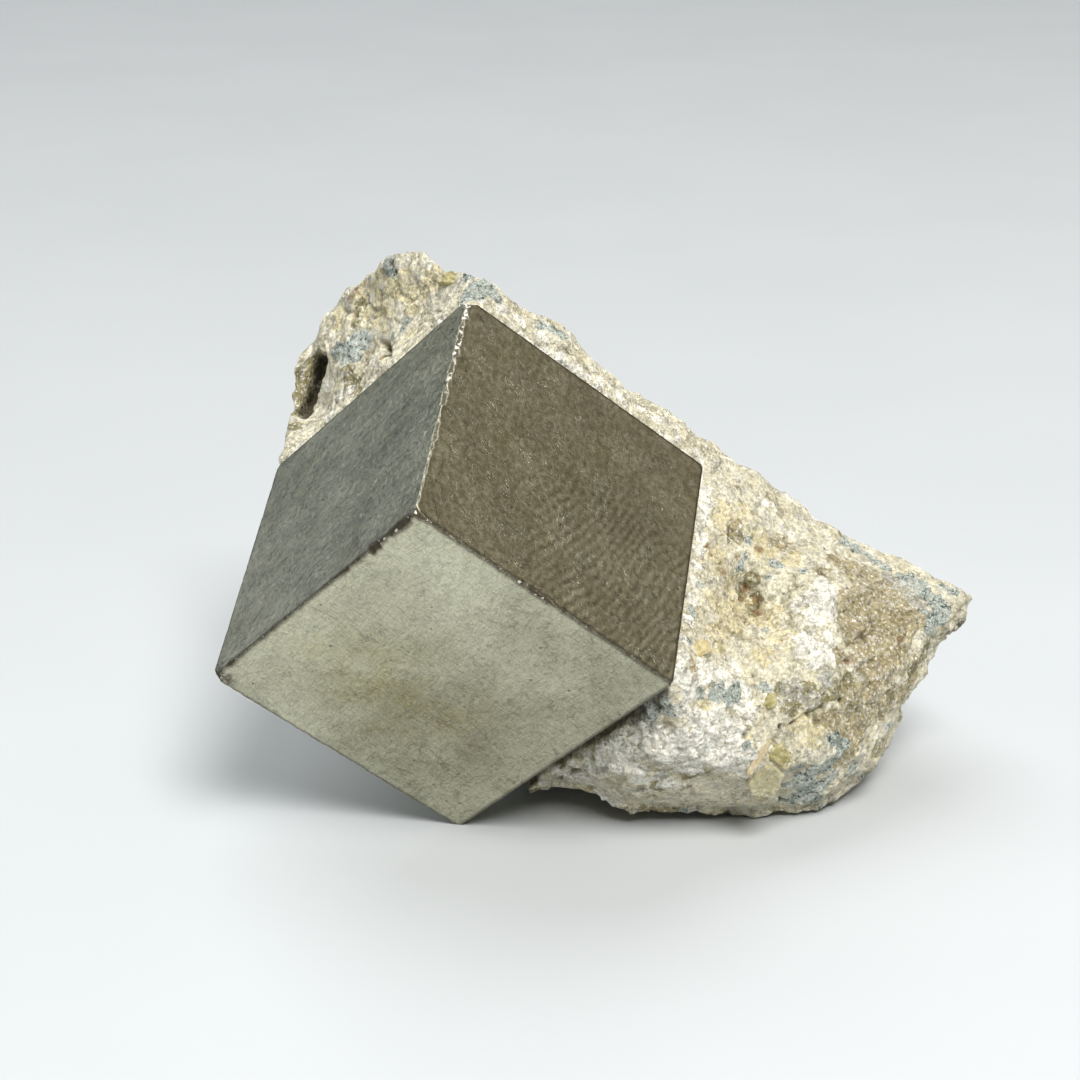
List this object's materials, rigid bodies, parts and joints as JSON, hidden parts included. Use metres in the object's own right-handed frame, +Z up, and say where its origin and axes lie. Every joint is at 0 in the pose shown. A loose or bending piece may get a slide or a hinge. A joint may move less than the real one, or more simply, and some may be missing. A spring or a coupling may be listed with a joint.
{
  "type": "pyrite cube on matrix rock",
  "caption": "Large dull metallic pyrite cube standing on a corner, grown into a wedge of pale granular matrix rock with small olive and honey-coloured crystals.",
  "frame": {"origin": "on the surface the specimen stands on, under the middle of its bounding box", "axes": "+X along the specimen's long side, from the cube towards the rock's point; +Y towards its back; +Z up"},
  "size_m": [0.07, 0.062, 0.0493],
  "materials": {
    "pyrite": null,
    "matrix": "rough granular carbonate rock, cream to tan, white crushed fringe and blue-grey chlorite patches",
    "tabular_crystal": "satin khaki cleavage face with pale rim",
    "olive_crystal": "waxy translucent olive",
    "honey_crystal": "waxy translucent honey yellow",
    "brown_blade": "satin light brown"
  },
  "bodies": {
    "root": {"pyrite_cube": "pyrite", "matrix_rock": "matrix", "tabular_crystal": "tabular_crystal", "olive_crystal_lower": "olive_crystal", "olive_crystal_upper": "olive_crystal", "olive_crystal_front": "olive_crystal", "honey_crystal": "honey_crystal", "brown_blade": "brown_blade"}
  },
  "joints": []
}
